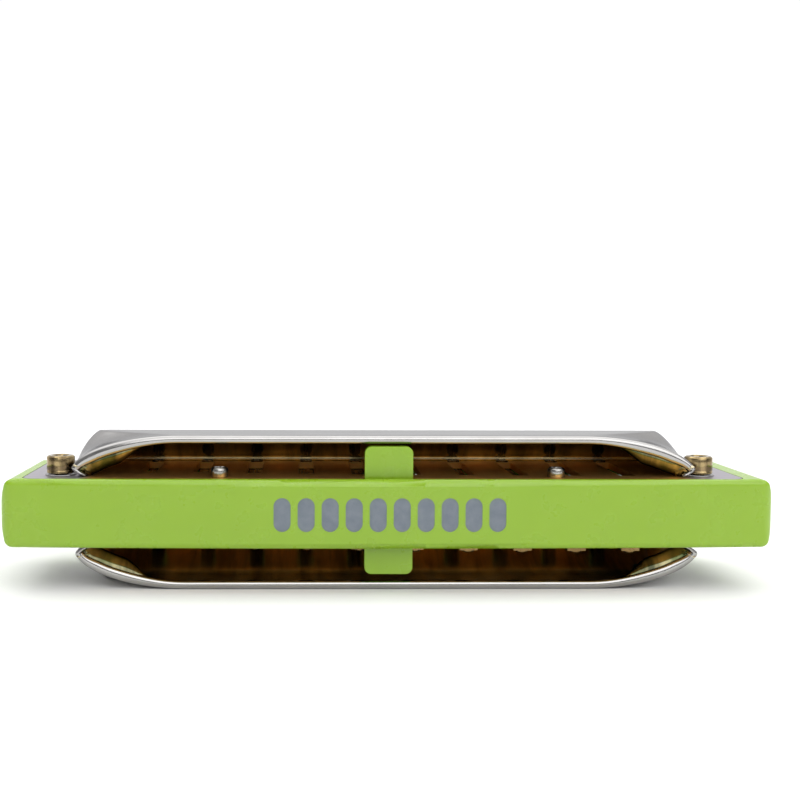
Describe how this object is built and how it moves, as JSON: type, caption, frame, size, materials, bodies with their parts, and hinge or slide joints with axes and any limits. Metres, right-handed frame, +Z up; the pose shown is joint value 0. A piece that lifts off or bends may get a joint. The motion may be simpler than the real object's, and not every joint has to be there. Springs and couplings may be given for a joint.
{
  "type": "harmonica",
  "caption": "Diatonic harmonica with a moulded comb between two slotted brass reed plates, sprung reeds and two pressed steel covers held by sleeve nuts.",
  "frame": {"origin": "middle of the overall box at the level of the bottom cover's flat, on which the instrument lies", "axes": "+X along the length towards the low notes, +Y towards the mouthpiece, +Z up"},
  "size_m": [0.101, 0.027, 0.0203],
  "materials": {
    "comb": "moulded, semi-gloss lime green",
    "mark": "flat grey-blue inlay",
    "cover": "polished",
    "reed_plate": "satin",
    "reed": "milled",
    "rivet": "polished",
    "screw": "polished",
    "nut": "turned"
  },
  "bodies": {
    "body": {"comb": "comb", "back_marks": "mark", "top_cover": "cover", "bottom_cover": "cover", "blow_reed_plate": "reed_plate", "draw_reed_plate": "reed_plate", "blow_reed_pads": "reed", "draw_reed_pads": "reed", "blow_reed_rivets": "rivet", "draw_reed_rivets": "rivet", "cover_screws": "screw", "cover_nuts": "nut", "reed_plate_screws": "screw"},
    "blow_reed_01": {"blow_reed_01": "reed"},
    "blow_reed_02": {"blow_reed_02": "reed"},
    "blow_reed_03": {"blow_reed_03": "reed"},
    "blow_reed_04": {"blow_reed_04": "reed"},
    "blow_reed_05": {"blow_reed_05": "reed"},
    "blow_reed_06": {"blow_reed_06": "reed"},
    "blow_reed_07": {"blow_reed_07": "reed"},
    "blow_reed_08": {"blow_reed_08": "reed"},
    "blow_reed_09": {"blow_reed_09": "reed"},
    "blow_reed_10": {"blow_reed_10": "reed"},
    "draw_reed_01": {"draw_reed_01": "reed"},
    "draw_reed_02": {"draw_reed_02": "reed"},
    "draw_reed_03": {"draw_reed_03": "reed"},
    "draw_reed_04": {"draw_reed_04": "reed"},
    "draw_reed_05": {"draw_reed_05": "reed"},
    "draw_reed_06": {"draw_reed_06": "reed"},
    "draw_reed_07": {"draw_reed_07": "reed"},
    "draw_reed_08": {"draw_reed_08": "reed"},
    "draw_reed_09": {"draw_reed_09": "reed"},
    "draw_reed_10": {"draw_reed_10": "reed"}
  },
  "joints": [
    {"name": "blow_reed_01_bend", "type": "hinge", "parent": "body", "child": "blow_reed_01", "pos_m": [0.03218, 0.0067, 0.01378], "axis": [-1, 0, 0], "range_deg": [-3, 3], "stiffness_Nm_per_rad": 0.002},
    {"name": "blow_reed_02_bend", "type": "hinge", "parent": "body", "child": "blow_reed_02", "pos_m": [0.02502, 0.0067, 0.01378], "axis": [-1, 0, 0], "range_deg": [-3, 3], "stiffness_Nm_per_rad": 0.002},
    {"name": "blow_reed_03_bend", "type": "hinge", "parent": "body", "child": "blow_reed_03", "pos_m": [0.01787, 0.0067, 0.01378], "axis": [-1, 0, 0], "range_deg": [-3, 3], "stiffness_Nm_per_rad": 0.002},
    {"name": "blow_reed_04_bend", "type": "hinge", "parent": "body", "child": "blow_reed_04", "pos_m": [0.01073, 0.0067, 0.01378], "axis": [-1, 0, 0], "range_deg": [-3, 3], "stiffness_Nm_per_rad": 0.002},
    {"name": "blow_reed_05_bend", "type": "hinge", "parent": "body", "child": "blow_reed_05", "pos_m": [0.00358, 0.0067, 0.01378], "axis": [-1, 0, 0], "range_deg": [-3, 3], "stiffness_Nm_per_rad": 0.002},
    {"name": "blow_reed_06_bend", "type": "hinge", "parent": "body", "child": "blow_reed_06", "pos_m": [-0.00358, 0.0067, 0.01378], "axis": [-1, 0, 0], "range_deg": [-3, 3], "stiffness_Nm_per_rad": 0.002},
    {"name": "blow_reed_07_bend", "type": "hinge", "parent": "body", "child": "blow_reed_07", "pos_m": [-0.01073, 0.0067, 0.01378], "axis": [-1, 0, 0], "range_deg": [-3, 3], "stiffness_Nm_per_rad": 0.002},
    {"name": "blow_reed_08_bend", "type": "hinge", "parent": "body", "child": "blow_reed_08", "pos_m": [-0.01787, 0.0067, 0.01378], "axis": [-1, 0, 0], "range_deg": [-3, 3], "stiffness_Nm_per_rad": 0.002},
    {"name": "blow_reed_09_bend", "type": "hinge", "parent": "body", "child": "blow_reed_09", "pos_m": [-0.02502, 0.0067, 0.01378], "axis": [-1, 0, 0], "range_deg": [-3, 3], "stiffness_Nm_per_rad": 0.002},
    {"name": "blow_reed_10_bend", "type": "hinge", "parent": "body", "child": "blow_reed_10", "pos_m": [-0.03218, 0.0067, 0.01378], "axis": [-1, 0, 0], "range_deg": [-3, 3], "stiffness_Nm_per_rad": 0.002},
    {"name": "draw_reed_01_bend", "type": "hinge", "parent": "body", "child": "draw_reed_01", "pos_m": [0.03218, -0.0082, 0.00568], "axis": [1, 0, 0], "range_deg": [-3, 3], "stiffness_Nm_per_rad": 0.002},
    {"name": "draw_reed_02_bend", "type": "hinge", "parent": "body", "child": "draw_reed_02", "pos_m": [0.02502, -0.00815, 0.00568], "axis": [1, 0, 0], "range_deg": [-3, 3], "stiffness_Nm_per_rad": 0.002},
    {"name": "draw_reed_03_bend", "type": "hinge", "parent": "body", "child": "draw_reed_03", "pos_m": [0.01787, -0.00799, 0.00568], "axis": [1, 0, 0], "range_deg": [-3, 3], "stiffness_Nm_per_rad": 0.002},
    {"name": "draw_reed_04_bend", "type": "hinge", "parent": "body", "child": "draw_reed_04", "pos_m": [0.01073, -0.00773, 0.00568], "axis": [1, 0, 0], "range_deg": [-3, 3], "stiffness_Nm_per_rad": 0.002},
    {"name": "draw_reed_05_bend", "type": "hinge", "parent": "body", "child": "draw_reed_05", "pos_m": [0.00358, -0.00737, 0.00568], "axis": [1, 0, 0], "range_deg": [-3, 3], "stiffness_Nm_per_rad": 0.002},
    {"name": "draw_reed_06_bend", "type": "hinge", "parent": "body", "child": "draw_reed_06", "pos_m": [-0.00358, -0.0069, 0.00568], "axis": [1, 0, 0], "range_deg": [-3, 3], "stiffness_Nm_per_rad": 0.002},
    {"name": "draw_reed_07_bend", "type": "hinge", "parent": "body", "child": "draw_reed_07", "pos_m": [-0.01073, -0.00633, 0.00568], "axis": [1, 0, 0], "range_deg": [-3, 3], "stiffness_Nm_per_rad": 0.002},
    {"name": "draw_reed_08_bend", "type": "hinge", "parent": "body", "child": "draw_reed_08", "pos_m": [-0.01787, -0.00566, 0.00568], "axis": [1, 0, 0], "range_deg": [-3, 3], "stiffness_Nm_per_rad": 0.002},
    {"name": "draw_reed_09_bend", "type": "hinge", "parent": "body", "child": "draw_reed_09", "pos_m": [-0.02502, -0.00488, 0.00568], "axis": [1, 0, 0], "range_deg": [-3, 3], "stiffness_Nm_per_rad": 0.002},
    {"name": "draw_reed_10_bend", "type": "hinge", "parent": "body", "child": "draw_reed_10", "pos_m": [-0.03218, -0.004, 0.00568], "axis": [1, 0, 0], "range_deg": [-3, 3], "stiffness_Nm_per_rad": 0.002}
  ]
}
